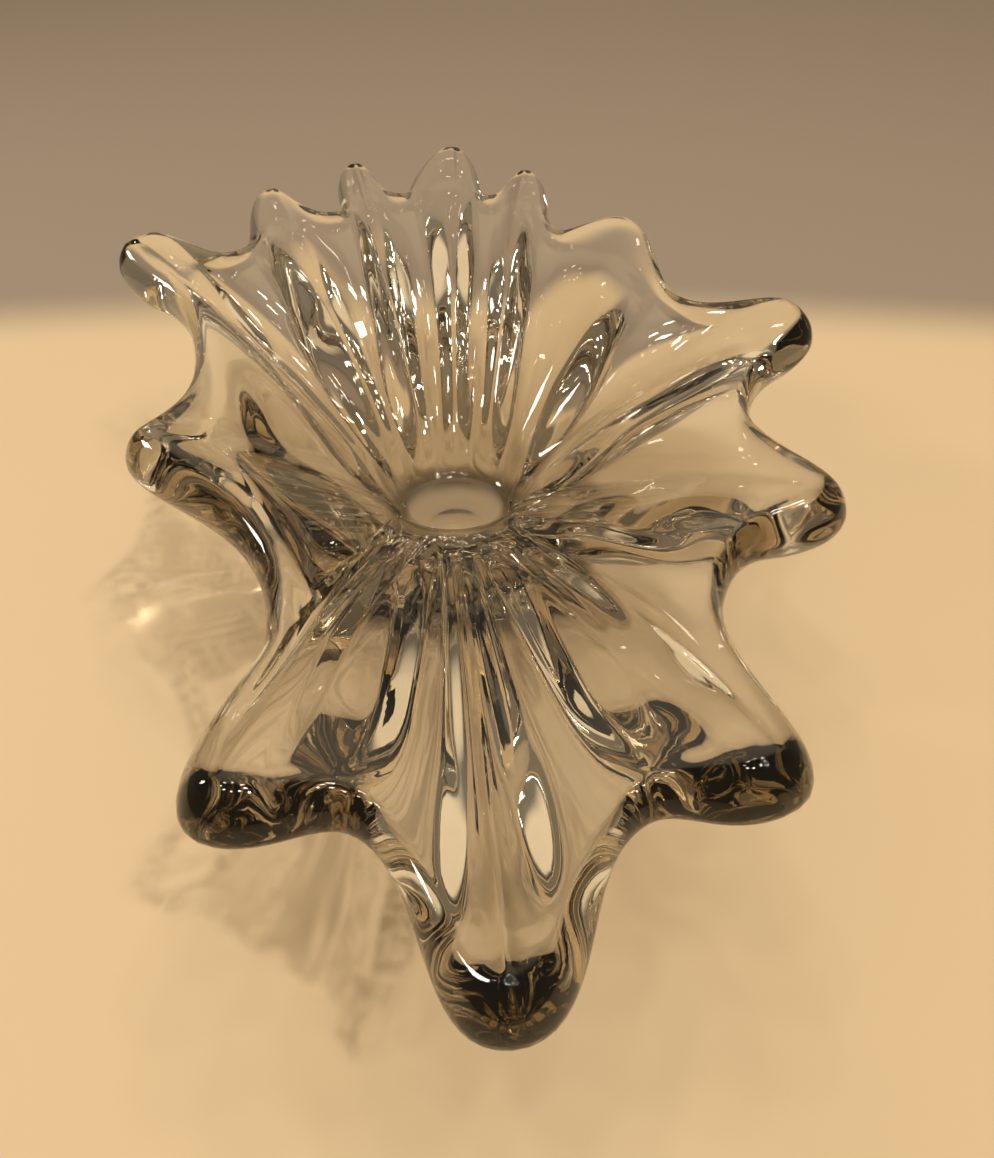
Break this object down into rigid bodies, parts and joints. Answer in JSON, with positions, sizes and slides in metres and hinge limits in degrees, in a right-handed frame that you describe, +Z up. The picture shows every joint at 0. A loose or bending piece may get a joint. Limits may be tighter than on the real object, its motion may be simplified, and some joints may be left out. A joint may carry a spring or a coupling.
{
  "type": "crystal centrepiece bowl",
  "caption": "Low free-form bowl of thick clear crystal on a small polished foot, with a narrow well and a long flared rim pulled into rounded fingers.",
  "frame": {"origin": "middle of the polished foot, on the surface that the bowl stands on", "axes": "+Z up out of the well, +Y along the longest pair of fingers towards the shorter end, +X to the right"},
  "size_m": [0.2847, 0.4289, 0.1124],
  "materials": {
    "crystal": "clear, fire polished"
  },
  "bodies": {
    "root": {"bowl": "crystal"}
  },
  "joints": []
}
